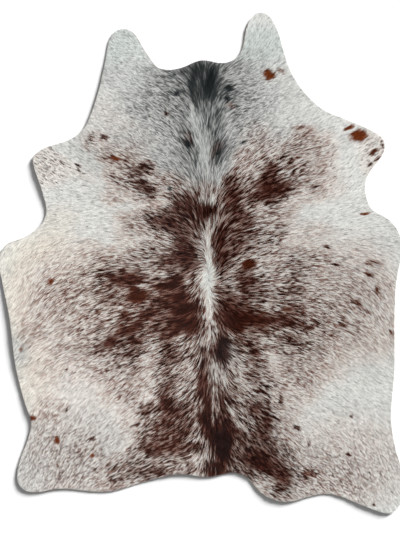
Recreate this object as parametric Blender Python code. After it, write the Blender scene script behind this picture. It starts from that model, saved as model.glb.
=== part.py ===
"""Hair-on cowhide rug: one whole hide, trimmed in a smooth cut and laid flat with its hair up.

Metres, +Z up, +Y to the neck end. The origin is the middle of the underside.
"""
import bpy
import bmesh
import numpy as np
from mathutils import Vector
from mathutils.geometry import delaunay_2d_cdt

for thing in list(bpy.data.objects):
    bpy.data.objects.remove(thing, do_unlink=True)

CM = 0.01
MM = 0.001

# Driving sizes of the hide.
HIDE_LENGTH = 2.10            # from the tip of the right cheek to the foot of the right hind shank
HIDE_WIDTH = 1.70             # from the left belly to the right hind shank
EDGE_THICKNESS = 3.0 * MM     # tanned skin and the trimmed hair at the cut
FULL_THICKNESS = 5.5 * MM     # the same skin under hair of full length, lying flat
EDGE_TAPER = 15.0 * MM        # how far in from the cut the hair has its full length
CREST_RISE = 1.5 * MM         # what the longer hair along the backbone adds
CREST_HALF_WIDTH = 6.0 * CM   # from the backbone to where that hair ends
CURL_BAND = 17.0 * CM         # how far in from the cut a lifted edge starts to rise

# How finely the solid follows the sizes above.
CURVE_STEPS = 24              # points on each stretch of the cut before it is spaced out evenly
EDGE_STEP = 14.0 * MM
SHEET_STEP = 52.0 * MM

HAIR_COLOUR = (0.42, 0.35, 0.32, 1.0)
HAIR_ROUGHNESS = 0.75

# The cut edge, clockwise from the left cheek: (across, along) in centimetres from the hide's middle.
# A row stands only where the cut turns or changes its bend.
OUTLINE_CM = {
    "left cheek": [(-40.2, 85.2), (-38.7, 93.2), (-36.5, 97.0), (-32.8, 98.3), (-29.0, 97.0),
                   (-23.5, 88.6), (-18.5, 82.1)],
    "neck": [(-14.3, 80.9), (-8.8, 81.7), (-0.4, 84.9), (8.0, 83.8), (12.6, 84.6)],
    "right cheek": [(16.6, 89.4), (18.5, 97.8), (19.9, 101.6), (22.4, 104.3), (25.2, 105.1),
                    (28.1, 103.6), (31.5, 97.8), (34.0, 89.4)],
    "right shoulder": [(36.8, 81.0), (42.0, 72.6), (50.8, 64.2), (60.1, 60.2), (70.6, 55.6)],
    "right fore shank": [(75.6, 52.2), (76.6, 49.0), (75.4, 45.2), (70.6, 38.8)],
    "right armpit": [(68.5, 34.0), (68.5, 29.0), (70.9, 22.6), (79.0, 17.4)],
    "right belly": [(83.0, 10.9), (83.3, 3.0), (81.3, -8.5), (80.6, -24.0), (80.6, -45.0),
                    (79.2, -66.0)],
    "right hind shank": [(81.1, -78.6), (84.7, -91.2), (84.3, -99.2), (79.4, -105.1),
                         (71.8, -103.6), (59.2, -98.5)],
    "right buttock": [(52.9, -97.0), (46.2, -97.9), (34.9, -100.4), (25.2, -97.1), (18.5, -89.7)],
    "tail cut": [(13.4, -88.1), (2.5, -89.9), (-9.2, -88.7)],
    "left buttock": [(-21.8, -91.2), (-37.4, -95.8), (-45.0, -96.1), (-58.8, -94.8)],
    "left hind shank": [(-70.6, -96.3), (-75.0, -95.0), (-77.1, -91.4), (-76.1, -83.2),
                        (-71.8, -71.2), (-71.3, -66.6)],
    "left belly": [(-73.5, -60.5), (-77.8, -44.1), (-80.5, -23.1), (-83.6, -7.6), (-84.8, 0.5),
                   (-82.3, 7.3)],
    "left armpit": [(-74.3, 10.7), (-68.0, 15.1), (-65.0, 21.0), (-66.8, 30.2)],
    "left fore shank": [(-69.9, 39.4), (-70.6, 44.0), (-67.2, 47.4), (-55.4, 51.6)],
    "left shoulder": [(-50.2, 55.2), (-47.3, 60.0), (-43.0, 72.6)],
}

# The backbone from the neck to the tail, as (across, along) in centimetres: the hide lies a little askew.
BACKBONE_CM = [(6.3, -89.0), (2.5, -2.1), (1.3, 85.0)]

# Where the cut edge stands off the floor: (across, along, reach, rise), the rise in millimetres and
# the rest in centimetres.
EDGE_LIFTS = {
    "left belly": (-79.0, -28.0, 44.0, 5.0),
    "left flank": (-72.5, -64.0, 26.0, 4.0),
    "left hind shank": (-72.0, -94.0, 30.0, 4.0),
    "left fore shank": (-69.0, 36.0, 24.0, 5.0),
    "left shoulder": (-45.0, 68.0, 26.0, 3.0),
    "tail cut": (-10.0, -88.0, 22.0, 3.0),
    "right buttock": (28.0, -98.0, 26.0, 4.0),
    "right hind shank": (70.0, -103.0, 28.0, 4.5),
    "right cheek": (20.0, 100.0, 18.0, 3.0),
    "right belly": (82.0, -14.0, 32.0, 3.0),
}


def between(low, high, at, first, last):
    """The point at the knot value `at`, on the line from low (at first) to high (at last)."""
    share = (at - first) / (last - first)
    return low * (1.0 - share) + high * share


def smooth_stretch(before, start, end, after):
    """Points from start up to end on the centripetal curve through four landmarks."""
    knots = [0.0]
    for here, there in ((before, start), (start, end), (end, after)):
        knots.append(knots[-1] + np.sqrt(np.linalg.norm(there - here)))
    k0, k1, k2, k3 = knots
    points = []
    for at in np.linspace(k1, k2, CURVE_STEPS, endpoint=False):
        a = between(before, start, at, k0, k1)
        b = between(start, end, at, k1, k2)
        c = between(end, after, at, k2, k3)
        points.append(between(between(a, b, at, k0, k2), between(b, c, at, k1, k3), at, k1, k2))
    return points


def even_points(curve, step):
    """The closed curve again, as points about one step apart along it."""
    closed = np.vstack([curve, curve[:1]])
    run = np.concatenate([[0.0], np.cumsum(np.linalg.norm(np.diff(closed, axis=0), axis=1))])
    stops = np.linspace(0.0, run[-1], round(run[-1] / step), endpoint=False)
    return np.column_stack([np.interp(stops, run, closed[:, axis]) for axis in (0, 1)])


def cut_edge():
    """The hide's outline at its driving sizes, centred on its own box."""
    rows = [np.array(row) * CM for run in OUTLINE_CM.values() for row in run]
    curve = []
    for i, start in enumerate(rows):
        curve += smooth_stretch(rows[i - 1], start, rows[(i + 1) % len(rows)], rows[(i + 2) % len(rows)])
    curve = np.array(curve)
    low, high = curve.min(axis=0), curve.max(axis=0)
    curve = (curve - (low + high) / 2.0) * (np.array([HIDE_WIDTH, HIDE_LENGTH]) / (high - low))
    return even_points(curve, EDGE_STEP)


def distance_to_edge(points, edge):
    """How far each point lies from the cut."""
    start = edge
    along = np.roll(edge, -1, axis=0) - start
    offset = points[:, None, :] - start[None, :, :]
    share = np.clip((offset * along).sum(axis=2) / (along * along).sum(axis=1), 0.0, 1.0)
    return np.linalg.norm(offset - share[:, :, None] * along, axis=2).min(axis=1)


def inside_edge(points, edge):
    """True for each point that the cut runs around, by counting crossings to its right."""
    x, y = points[:, 0:1], points[:, 1:2]
    x0, y0 = edge[:, 0], edge[:, 1]
    x1, y1 = np.roll(x0, -1), np.roll(y0, -1)
    spans = (y0 > y) != (y1 > y)
    rise = np.where(y1 == y0, 1.0, y1 - y0)
    crossing_x = x0 + (y - y0) * (x1 - x0) / rise
    return (spans & (x < crossing_x)).sum(axis=1) % 2 == 1


def inner_ring(edge):
    """The line where the hair reaches its full length, one taper in from the cut."""
    tangent = np.roll(edge, -1, axis=0) - np.roll(edge, 1, axis=0)
    tangent /= np.linalg.norm(tangent, axis=1)[:, None]
    inward = np.column_stack([tangent[:, 1], -tangent[:, 0]])
    return edge + inward * EDGE_TAPER


def sheet_points(edge):
    """Staggered rows of points over the hide, clear of the taper."""
    row_step = SHEET_STEP * np.sqrt(3.0) / 2.0
    rows = round(HIDE_LENGTH / row_step)
    columns = round(HIDE_WIDTH / SHEET_STEP)
    grid = []
    for row in range(rows + 1):
        stagger = 0.5 * (row % 2)
        for column in range(columns + 1):
            x = (column + stagger - columns / 2.0) * SHEET_STEP
            y = (row - rows / 2.0) * row_step
            grid.append((x, y))
    grid = np.array(grid)
    clear = distance_to_edge(grid, edge) > EDGE_TAPER + 0.5 * SHEET_STEP
    return grid[clear & inside_edge(grid, edge)]


def smooth_fall(share):
    """1 at share 0, 0 from share 1 on, with no corner at either end."""
    share = np.clip(share, 0.0, 1.0)
    return 1.0 - share * share * (3.0 - 2.0 * share)


def floor_gap(points, from_edge):
    """How far the underside stands off the floor: nothing over most of the hide."""
    gap = np.zeros(len(points))
    for across, along, reach, rise in EDGE_LIFTS.values():
        away = np.linalg.norm(points - np.array([across, along]) * CM, axis=1)
        lift = rise * MM * smooth_fall(away / (reach * CM)) * smooth_fall(from_edge / CURL_BAND)
        gap = np.maximum(gap, lift)
    return gap


def thickness(points, from_edge):
    """Skin and laid hair: thin at the cut, full inside it, a little more along the backbone."""
    full = EDGE_THICKNESS + (FULL_THICKNESS - EDGE_THICKNESS) * (1.0 - smooth_fall(from_edge / EDGE_TAPER))
    across, along = np.array(BACKBONE_CM).T * CM
    from_backbone = np.abs(points[:, 0] - np.interp(points[:, 1], along, across))
    crest = CREST_RISE * smooth_fall(from_backbone / CREST_HALF_WIDTH)
    return full + crest * (1.0 - smooth_fall(from_edge / CURL_BAND))


def hide_triangles(edge):
    """Plan points and triangles that fill the cut, the cut's own points first."""
    plan = np.vstack([edge, inner_ring(edge), sheet_points(edge)])
    loop = [(i, (i + 1) % len(edge)) for i in range(len(edge))]
    filled = delaunay_2d_cdt([Vector(point) for point in plan], loop, [], 1, 1e-6)
    source = [rows[0] for rows in filled[3]]
    return plan, [tuple(source[corner] for corner in face) for face in filled[2]]


def hair_material():
    """White hair ticked with brown, as one plain colour."""
    material = bpy.data.materials.new("hair")
    material.use_nodes = True
    shader = material.node_tree.nodes["Principled BSDF"]
    shader.inputs["Base Color"].default_value = HAIR_COLOUR
    shader.inputs["Roughness"].default_value = HAIR_ROUGHNESS
    shader.inputs["Metallic"].default_value = 0.0
    return material


def build_hide():
    """The whole hide as one closed sheet."""
    edge = cut_edge()
    plan, triangles = hide_triangles(edge)
    from_edge = distance_to_edge(plan, edge)
    under = floor_gap(plan, from_edge)
    over = under + thickness(plan, from_edge)

    mesh = bmesh.new()
    top = [mesh.verts.new((x, y, z)) for (x, y), z in zip(plan, over)]
    bottom = [mesh.verts.new((x, y, z)) for (x, y), z in zip(plan, under)]
    for a, b, c in triangles:
        mesh.faces.new((top[a], top[b], top[c]))
        mesh.faces.new((bottom[c], bottom[b], bottom[a]))
    for i in range(len(edge)):
        j = (i + 1) % len(edge)
        mesh.faces.new((top[i], top[j], bottom[j], bottom[i]))
    bmesh.ops.recalc_face_normals(mesh, faces=mesh.faces)

    data = bpy.data.meshes.new("hide")
    mesh.to_mesh(data)
    mesh.free()
    data.materials.append(hair_material())
    hide = bpy.data.objects.new("hide", data)
    bpy.context.scene.collection.objects.link(hide)
    return hide


build_hide()
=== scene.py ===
# %% [markdown]
# # A cowhide rug
#
# The real rug is one whole hide of a speckled cow, tanned with its hair on, trimmed in one smooth cut
# and laid flat. The hair runs out from a whorl on the back, and the white coat is ticked with dark
# brown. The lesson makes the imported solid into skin, combs the hair and colours it lock by lock.

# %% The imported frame
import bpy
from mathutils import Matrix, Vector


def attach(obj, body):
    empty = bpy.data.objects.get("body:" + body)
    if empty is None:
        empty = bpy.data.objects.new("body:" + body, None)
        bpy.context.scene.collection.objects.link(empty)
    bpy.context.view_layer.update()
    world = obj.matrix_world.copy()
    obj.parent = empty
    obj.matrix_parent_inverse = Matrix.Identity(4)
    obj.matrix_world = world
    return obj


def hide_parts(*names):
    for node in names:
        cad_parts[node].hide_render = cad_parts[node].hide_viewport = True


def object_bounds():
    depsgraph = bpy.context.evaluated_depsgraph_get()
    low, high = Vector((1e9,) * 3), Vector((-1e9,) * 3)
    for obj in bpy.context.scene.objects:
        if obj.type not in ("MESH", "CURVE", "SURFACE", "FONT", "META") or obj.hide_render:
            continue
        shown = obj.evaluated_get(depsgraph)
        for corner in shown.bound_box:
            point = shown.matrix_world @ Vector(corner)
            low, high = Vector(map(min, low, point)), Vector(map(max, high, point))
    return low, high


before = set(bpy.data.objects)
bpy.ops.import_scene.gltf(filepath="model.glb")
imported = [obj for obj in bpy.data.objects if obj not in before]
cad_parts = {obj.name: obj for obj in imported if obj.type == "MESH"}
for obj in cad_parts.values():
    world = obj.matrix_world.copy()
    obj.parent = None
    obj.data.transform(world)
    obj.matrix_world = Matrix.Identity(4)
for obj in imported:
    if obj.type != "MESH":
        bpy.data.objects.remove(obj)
print("packed nodes", list(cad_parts))

# %% [markdown]
# Everything is in metres, in the frame of the imported solid: +Y to the neck, +X to the right, +Z up
# through the hair. The solid's box is kept, and the roots of the hair are laid out within it.

# %% Units and the solid's box
import math

import bmesh
import bpy
import numpy as np
from mathutils import Vector
from mathutils.bvhtree import BVHTree
from mathutils.kdtree import KDTree

MM = 0.001
CM = 0.01
cad_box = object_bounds()
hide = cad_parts["hide"]
rng = np.random.default_rng(12)
print("solid", [round(v, 4) for corner in cad_box for v in corner])

# %% [markdown]
# ## Camera, floor and light
#
# A product photo of a rug is taken from straight above. An orthographic camera would do, but a real one
# hangs high with a long lens, so that nothing leans. A pixel is the hide's width over its pixels.

# %% Camera
PHOTO_SIZE = (400, 533)
HIDE_MIDDLE_PX = (202.0, 262.9)
HIDE_WIDTH_PX = 404.8
HIDE_WIDTH = 1.70
METRES_A_PIXEL = HIDE_WIDTH / HIDE_WIDTH_PX
CAMERA_HEIGHT = 9.0
VIEW_REACH = 50.0     # how far the camera sees
SENSOR_MM = 36.0

camera_data = bpy.data.cameras.new("camera")
camera_data.sensor_fit = "VERTICAL"
camera_data.sensor_height = SENSOR_MM
camera_data.lens = SENSOR_MM * CAMERA_HEIGHT / (PHOTO_SIZE[1] * METRES_A_PIXEL)
camera_data.clip_end = VIEW_REACH
camera = bpy.data.objects.new("camera", camera_data)
bpy.context.scene.collection.objects.link(camera)
camera.location = (
    (PHOTO_SIZE[0] / 2 - HIDE_MIDDLE_PX[0]) * METRES_A_PIXEL,
    (HIDE_MIDDLE_PX[1] - PHOTO_SIZE[1] / 2) * METRES_A_PIXEL,
    CAMERA_HEIGHT,
)
bpy.context.scene.camera = camera
print("camera at", [round(v, 3) for v in camera.location], "lens", round(camera_data.lens, 1))

# %% [markdown]
# Each colour is written as the hex code that a screen shows, while Blender mixes linear light, so one
# function turns the first into the second. Nodes could be set up line by line, but a function that adds
# one with its settings and links keeps a material readable.


# %% Colours and nodes
def linear(code):
    """A colour written as sRGB hex, such as "E6E2DA", in the linear values that Blender mixes."""
    parts = [int(code[i:i + 2], 16) / 255 for i in (0, 2, 4)]
    return [v / 12.92 if v <= 0.04045 else ((v + 0.055) / 1.055) ** 2.4 for v in parts] + [1.0]


def add(material, kind, inputs=None, stops=None, **settings):
    """A new node. inputs holds each socket's value or the output that feeds it, stops a ramp's colours."""
    node = material.node_tree.nodes.new(kind)
    for key, value in settings.items():
        setattr(node, key, value)
    for number, (place, code) in enumerate(stops or []):
        line = node.color_ramp.elements
        stop = line[number] if number < len(line) else line.new(place)
        stop.position, stop.color = place, linear(code)
    for key, value in (inputs or {}).items():
        if isinstance(value, bpy.types.NodeSocket):
            material.node_tree.links.new(value, node.inputs[key])
        else:
            node.inputs[key].default_value = value
    return node


def new_material(name, **shader_values):
    """A material with only a Principled shader, and the values that are the same all over it."""
    material = bpy.data.materials.new(name)
    material.use_nodes = True
    shader = material.node_tree.nodes["Principled BSDF"]
    for key, value in shader_values.items():
        shader.inputs[key.replace("_", " ")].default_value = value
    return material, shader


print("grey 808080 is", round(linear("808080")[0], 3), "in linear light")

# %% [markdown]
# The floor is matt white, as bright as the photo's ground. In a studio the ground is often lit on its
# own: here a low, wide light from the upper right gives the rug a soft shadow to the left and below, and
# a higher one lights the hair. Each is linked to what it lights. A white surround fills both.

# %% Floor and light
FLOOR_SIZE = 14.0
FLOOR_DROP = 0.4 * MM     # under the rug, so that no two faces share a plane
FILL_STRENGTH = 0.22
LIGHTS = {     # where it comes from, strength, spread in degrees
    "floor light": ((0.68, 0.68, 0.225), 15.4, 25),
    "hair light": ((0.40, 0.32, 0.86), 5.25, 30),
}

bpy.ops.object.select_all(action="DESELECT")
bpy.ops.mesh.primitive_plane_add(size=FLOOR_SIZE, location=(0, 0, -FLOOR_DROP))
floor = bpy.context.active_object
floor.name = "floor"
bpy.ops.object.transform_apply(location=True, rotation=True, scale=True)
floor_white, _ = new_material("matt_white_floor", Base_Color=linear("F6F6F6"), Roughness=1.0)
floor.data.materials.append(floor_white)

lit_by = {}
for name, (comes_from, strength, spread) in LIGHTS.items():
    light = bpy.data.objects.new(name, bpy.data.lights.new(name, "SUN"))
    light.data.energy = strength
    light.data.angle = math.radians(spread)
    light.rotation_euler = Vector(comes_from).to_track_quat("Z", "Y").to_euler()
    bpy.context.scene.collection.objects.link(light)
    lit_by[name] = bpy.data.collections.new("lit by the " + name)
    light.light_linking.receiver_collection = lit_by[name]
lit_by["floor light"].objects.link(floor)

world = bpy.data.worlds.new("studio")
world.use_nodes = True
world.node_tree.nodes["Background"].inputs["Color"].default_value = linear("FFFFFF")
world.node_tree.nodes["Background"].inputs["Strength"].default_value = FILL_STRENGTH
bpy.context.scene.world = world
bpy.context.scene.view_settings.view_transform = "Standard"
print("floor", FLOOR_SIZE, "m, lights", list(LIGHTS), "fill", FILL_STRENGTH)

# %% [markdown]
# ## The skin
#
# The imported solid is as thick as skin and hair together. The skin could be cut from a plane, but a copy
# of the solid already has the right cut and lifted edges. Its doubled corners are merged.

# %% Skin, from a copy of the solid
SAME_PLACE = 0.05 * MM

skin = hide.copy()
skin.data = hide.data.copy()
skin.name = skin.data.name = "skin"
for mark in [key for key in skin.keys() if key.startswith("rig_")]:
    del skin[mark]
bpy.context.scene.collection.objects.link(skin)
bpy.ops.object.select_all(action="DESELECT")
skin.select_set(True)
bpy.context.view_layer.objects.active = skin
bpy.ops.object.mode_set(mode="EDIT")
bpy.ops.mesh.select_all(action="SELECT")
bpy.ops.mesh.remove_doubles(threshold=SAME_PLACE)
bpy.ops.object.mode_set(mode="OBJECT")
print("skin corners", len(skin.data.vertices))

# %% [markdown]
# The cut is where the flat upper side meets the upright rim. Its stretches are kept, to trim the hair
# along them. The underside is found by a ray from below, and at the rim, where a ray can slip past, from
# the corners above each other.

# %% Rim and underside
FLAT = 0.5     # a face that lies flat has a normal with more z than this
SAME_COLUMN = 4 * SAME_PLACE

shape = bmesh.new()
shape.from_mesh(skin.data)
solid_tree = BVHTree.FromBMesh(shape)
by_place = KDTree(len(shape.verts))
for vert in shape.verts:
    by_place.insert((vert.co.x, vert.co.y, 0.0), vert.index)
by_place.balance()
shape.verts.ensure_lookup_table()
rim = []
for edge in shape.edges:
    slopes = sorted(face.normal.z for face in edge.link_faces)
    if len(slopes) == 2 and abs(slopes[0]) < FLAT < slopes[1]:
        rim.append([list(vert.co.xy) for vert in edge.verts])
rim = np.array(rim)


def underside(x, y):
    """How high the solid's underside lies at one place."""
    hit = solid_tree.ray_cast(Vector((x, y, -1.0)), Vector((0, 0, 1)))[0]
    heights = [] if hit is None else [hit.z]
    heights += [shape.verts[i].co.z for _, i, _ in by_place.find_range((x, y, 0.0), SAME_COLUMN)]
    return min(heights)


print("rim edges", len(rim))

# %% [markdown]
# Tanned cowhide is about 2 mm thick. Each corner of the upper side is lowered to that over the underside
# below it, and the hair is then set there.

# %% Skin of its real thickness
SKIN_THICKNESS = 2.0 * MM

lowered = {}
for vert in shape.verts:
    under = underside(vert.co.x, vert.co.y)
    if vert.co.z - under > SAME_PLACE:
        lowered[vert.index] = under + SKIN_THICKNESS
for index, height in lowered.items():
    shape.verts[index].co.z = height
shape.to_mesh(skin.data)
shape.free()
print("skin faces", len(skin.data.polygons), "corners lowered", len(lowered))

# %% [markdown]
# ## A chart of the hide
#
# The hair needs to know how far the cut is and how high the skin lies at any place. Both are worked out
# once on a grid and read between its points, which is quick for half a million locks.

# %% Distance to the cut
CHART_STEP = 5 * MM
CHART_LOW = np.array([-0.90, -1.10])
CHART_COUNT = (361, 441)


def from_edge(points):
    """How far inside the cut each point lies, in metres, less than 0 outside it."""
    start, along = rim[:, 0], rim[:, 1] - rim[:, 0]
    offset = points[:, None, :] - start
    share = np.clip((offset * along).sum(2) / (along * along).sum(1), 0, 1)
    away = np.linalg.norm(offset - share[:, :, None] * along, axis=2).min(1)
    x, y = points[:, 0:1], points[:, 1:2]
    spans = (rim[:, 0, 1] > y) != (rim[:, 1, 1] > y)
    rise = np.where(along[:, 1] == 0, 1, along[:, 1])
    right = rim[:, 0, 0] + (y - rim[:, 0, 1]) * along[:, 0] / rise > x
    inside = (spans & right).sum(1) % 2 == 1
    return np.where(inside, away, -away)


chart_x = CHART_LOW[0] + CHART_STEP * np.arange(CHART_COUNT[0])
chart_y = CHART_LOW[1] + CHART_STEP * np.arange(CHART_COUNT[1])
edge_chart = np.array([from_edge(np.column_stack([chart_x, np.full_like(chart_x, y)])) for y in chart_y])
print("hide area", round(float((edge_chart > 0).sum() * CHART_STEP ** 2), 3), "m2")

# %% [markdown]
# A ray from above finds how high the skin lies, and past the cut, where tips hang, the nearest skin does.

# %% Height of the skin
CHART_MARGIN = 30 * MM     # how far past the cut it is charted

skin_tree = BVHTree.FromObject(skin, bpy.context.evaluated_depsgraph_get())
skin_chart = np.zeros_like(edge_chart)
for row, y in enumerate(chart_y):
    for column, x in enumerate(chart_x):
        if edge_chart[row, column] > -CHART_MARGIN:
            hit = skin_tree.ray_cast(Vector((x, y, 1)), Vector((0, 0, -1)))[0]
            if hit is None:
                hit = skin_tree.find_nearest(Vector((x, y, SKIN_THICKNESS)))[0]
            skin_chart[row, column] = hit.z


def between(low_left, low_right, high_left, high_right, u, v):
    """The value at u across and v up between four corners."""
    low = low_left * (1 - u) + low_right * u
    high = high_left * (1 - u) + high_right * u
    return low * (1 - v) + high * v


def read_chart(chart, points):
    """The chart's value at each point, straight between its grid points."""
    place = (points - CHART_LOW) / CHART_STEP
    cell = np.clip(place.astype(int), 0, np.array(CHART_COUNT) - 2)
    u, v = np.clip(place - cell, 0, 1).T
    i, j = cell.T
    return between(chart[j, i], chart[j, i + 1], chart[j + 1, i], chart[j + 1, i + 1], u, v)


print("highest skin", round(float(skin_chart.max() / MM), 1), "mm")

# %% [markdown]
# ## The lie of the hair
#
# On a cow's back the hair parts at a whorl. In front of it the hair runs to the neck and behind it to
# the tail, and to each side it turns out and down over the ribs. The table holds the angle read from
# the photo at set distances from the backbone: 0 points straight out to the side, 90 to the neck and
# -90 to the tail. Both sides share it, mirrored, and a slow drift keeps them from being twins.

# %% Comb table
BACKBONE_CM = [(6.3, -89.0), (2.5, -2.1), (1.3, 85.0)]     # (across, along)
COMB_OUT_CM = (3, 8, 15, 28, 45, 62, 78)
COMB_DEGREES = {     # along: the angle at each distance out
    98: (60, 60, 62, 58, 55, 50, 50),
    82: (70, 24, 12, 20, 26, 24, 24),
    70: (78, 32, 24, 28, 28, 26, 24),
    59: (80, 42, 36, 32, 24, 30, 18),
    48: (80, 46, 38, 31, 25, 36, 34),
    37: (78, 42, 32, 23, 25, 34, 34),
    26: (76, 38, 20, 16, 13, 14, 5),
    15: (74, 30, 18, 17, -1, -6, -20),
    4: (66, 22, 16, 12, -8, -32, -42),
    -6: (-20, -10, 4, 2, -8, -36, -60),
    -17: (-70, -34, -14, -12, -22, -36, -60),
    -28: (-74, -32, -18, -15, -24, -34, -50),
    -39: (-76, -40, -24, -17, -26, -31, -38),
    -50: (-78, -42, -28, -25, -28, -34, -42),
    -61: (-82, -46, -36, -34, -34, -46, -54),
    -72: (-88, -54, -40, -38, -38, -48, -62),
    -88: (-88, -42, -24, -28, -34, -46, -60),
    -98: (-90, -48, -28, -28, -32, -50, -60),
}
COMB_SKEW_CM = 6     # how much further back the left side's hair turns than the right side's, halved
print("comb table", len(COMB_DEGREES), "rows")

# %% [markdown]
# A table is read between its rows and columns. A shader has noise nodes, but here noise also moves places
# and picks locks, so it is written out: chance numbers on a grid, blended smoothly. The last number in
# each call is its seed.


# %% Reading a table, and noise
def blend_table(table, columns, out, along):
    """Values read between the rows and columns of a table with named rows."""
    rows = np.array(sorted(table))
    values = np.array([table[row] for row in rows], float)
    r = np.clip(np.interp(along, rows, np.arange(len(rows))), 0, len(rows) - 1.001)
    c = np.clip(np.interp(out, columns, np.arange(len(columns))), 0, len(columns) - 1.001)
    i, j = r.astype(int), c.astype(int)
    u, v = r - i, c - j
    return between(values[i, j], values[i, j + 1], values[i + 1, j], values[i + 1, j + 1], v, u)


def hashed(i, j, seed):
    """A repeatable number from 0 to 1 for each grid point."""
    h = (i.astype(np.int64) * 374761393 + j.astype(np.int64) * 668265263 + seed * 974634777) & 0xFFFFFFFF
    h = ((h ^ (h >> 13)) * 1274126177) & 0xFFFFFFFF
    h = ((h ^ (h >> 16)) * 2246822519) & 0xFFFFFFFF
    return ((h ^ (h >> 15)) & 0xFFFFFF) / float(0x1000000)


def noise(points, cell, seed):
    """Smooth noise from 0 to 1 with patches about one cell wide."""
    place = points / cell
    base = np.floor(place).astype(np.int64)
    u, v = (place - base).T
    u, v = u * u * (3 - 2 * u), v * v * (3 - 2 * v)
    i, j = base.T
    corners = [hashed(i + across, j + up, seed) for up in (0, 1) for across in (0, 1)]
    return between(*corners, u, v)


print("noise with three seeds", [noise(np.ones((1, 2)), 0.7, seed).round(2)[0] for seed in (1, 2, 3)])

# %% [markdown]
# The comb gives the way of the hair at any place. Close to the backbone the hair of the two sides meets,
# so its sideways part shrinks to nothing there and it runs straight along.

# %% The comb
COMB_DRIFT = 9.0     # degrees
COMB_DRIFT_CELL = 9 * CM
MEETING = 1.2 * CM     # how far from the backbone the two sides' hair meets


def comb(points):
    """The way that the hair points at each place, as unit steps across and along."""
    across, along = np.array(BACKBONE_CM).T * CM
    offset = points[:, 0] - np.interp(points[:, 1], along, across)
    side = np.clip(offset / MEETING, -1, 1)
    skewed = points[:, 1] / CM + COMB_SKEW_CM * side
    degrees = blend_table(COMB_DEGREES, COMB_OUT_CM, np.abs(offset) / CM, skewed)
    degrees += COMB_DRIFT * 2 * (noise(points, COMB_DRIFT_CELL, 3) - 0.5)
    step = np.column_stack([side * np.cos(np.radians(degrees)), np.sin(np.radians(degrees))])
    return step / np.maximum(np.linalg.norm(step, axis=1), 1e-6)[:, None]


print("left and right of the whorl", comb(np.array([[-.3, 0], [.3, 0]])).round(2).tolist())

# %% [markdown]
# ## The coat's pattern
#
# The coat is roan: white hair with brown hair mixed in, from a few ticks on the flanks to nearly solid
# along the back. It could be painted by hand, but a table can be read and mended. Each row is one patch
# seen in the photo, an ellipse with its middle, half length and half width in centimetres, the turn of
# its long side in degrees, and the share of coloured hair in its middle. Patches overlap as the real
# ones do, so that a blotch has no plain outline. The first lie in front of the whorl.

# %% Brown patches in front
BROWN = {}     # lists of (across, along, half length, half width, turn, share)
BROWN["withers, left"] = [
    (-8, 26, 6, 5, 0, .7), (-12, 19.5, 11, 4.5, 5, .74), (-9, 14, 6, 4, 0, .72), (-6.5, 6, 7, 6.5, 0, .84),
    (-14, 9, 5, 5, 0, .25), (-11, .5, 8, 4, 0, .62), (2, 22, 5, 2.6, -12, .78), (-17, 17, 5, 3, 0, .45),
    (-4, 28, 4, 3, 0, .5), (0, 17, 5, 6, 0, .5), (-4, -2, 4, 3, 0, .5), (-24, 4, 12, 4, 0, .1),
]
BROWN["withers, right"] = [
    (13, 31, 6.5, 4, 80, .75), (14, 18, 11, 8, 90, .74), (13, 6, 8, 6, 0, .62), (8, 8, 10, 2.5, 90, .6),
    (20, 20, 3, 5, 0, .4), (14, 24, 5, 6, 0, .4), (24, 9, 7, 6, 0, .42), (16, 42, 5, 6, 0, .1),
]
BROWN["right shoulder"] = [
    (28, 38, 4.5, 4, 0, .72), (26, 33, 5.5, 4, 0, .7), (28, 30, 9, 4, 8, .68), (25, 27, 6, 2.5, 0, .65),
    (34, 31, 4, 3, 0, .65), (38, 40, 15, 8, 35, .3), (33, 45, 7, 2.5, 35, .4), (42, 54, 5, 4, 20, .16),
    (50, 50, 5, 4, 0, .05), (46, 35, 7, 5, 20, .11), (33, 13, 4, 3, 30, .35), (32, 22, 8, 5, 15, .17),
    (23, 45, 7, 5, 30, .16),
]
BROWN["left shoulder"] = [
    (-25, 40, 4, 2.5, 10, .6), (-28, 38, 7, 2.5, -35, .5), (-25, 33, 5, 2.5, 0, .6), (-24, 30, 4, 3, 0, .45),
    (-37, 43.5, 5, 2, 0, .32), (-36, 36, 5, 2.5, -30, .25), (-43, 52, 6, 2.5, -15, .08),
    (-48, 52, 1.3, 3, 0, .35), (-43, 48, 6, 2.5, -20, .04), (-38, 27, 4, 3, 0, .15),
    (-28, 34, 10, 7, -20, .16), (-13, 33, 6, 5, 0, .25), (-27, 17, 8, 4, -10, .15),
]
print(len(BROWN), "regions so far")

# %% [markdown]
# The ribs carry the largest fields. On the left they break up into clumps, which lean outwards and down
# with the hair, and the left side of the rump goes on from them.

# %% Brown patches on the ribs and the left rump
BROWN["left ribs"] = [
    (-13, -6, 8, 3, 10, .5), (-11, -15, 9.5, 7.5, -10, .68), (-8, -21, 9, 6, 0, .66),
    (-6, -27, 7, 5, 0, .76), (-14, -27, 6, 5, 0, .58), (-14, -37, 8, 5, 90, .62), (-29, -7, 8, 3.5, 10, .62),
    (-34, -3, 9, 5, 10, .25), (-36, -10, 9, 5, 20, .26), (-20, -17, 8, 4, 20, .32),
    (-33, -28, 14, 4.5, 33, .45), (-24, -22, 9, 3.5, 15, .42), (-36, -33, 8, 4, 30, .4),
    (-29, -36, 6, 4, 10, .5), (-20, -28, 9, 5, 20, .55), (-48, -9, 9, 6, 25, .05),
    (-46, -20, 13, 12, 0, .15), (-62, -16, 15, 20, 0, .1), (-34, -42, 9, 5, 20, .32),
    (-28, -8, 22, 10, 15, .25), (-20, 2, 8, 5, 0, .3), (-24, -42, 9, 6, 0, .12), (-4, -38, 6, 6, 0, .4),
]
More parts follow.
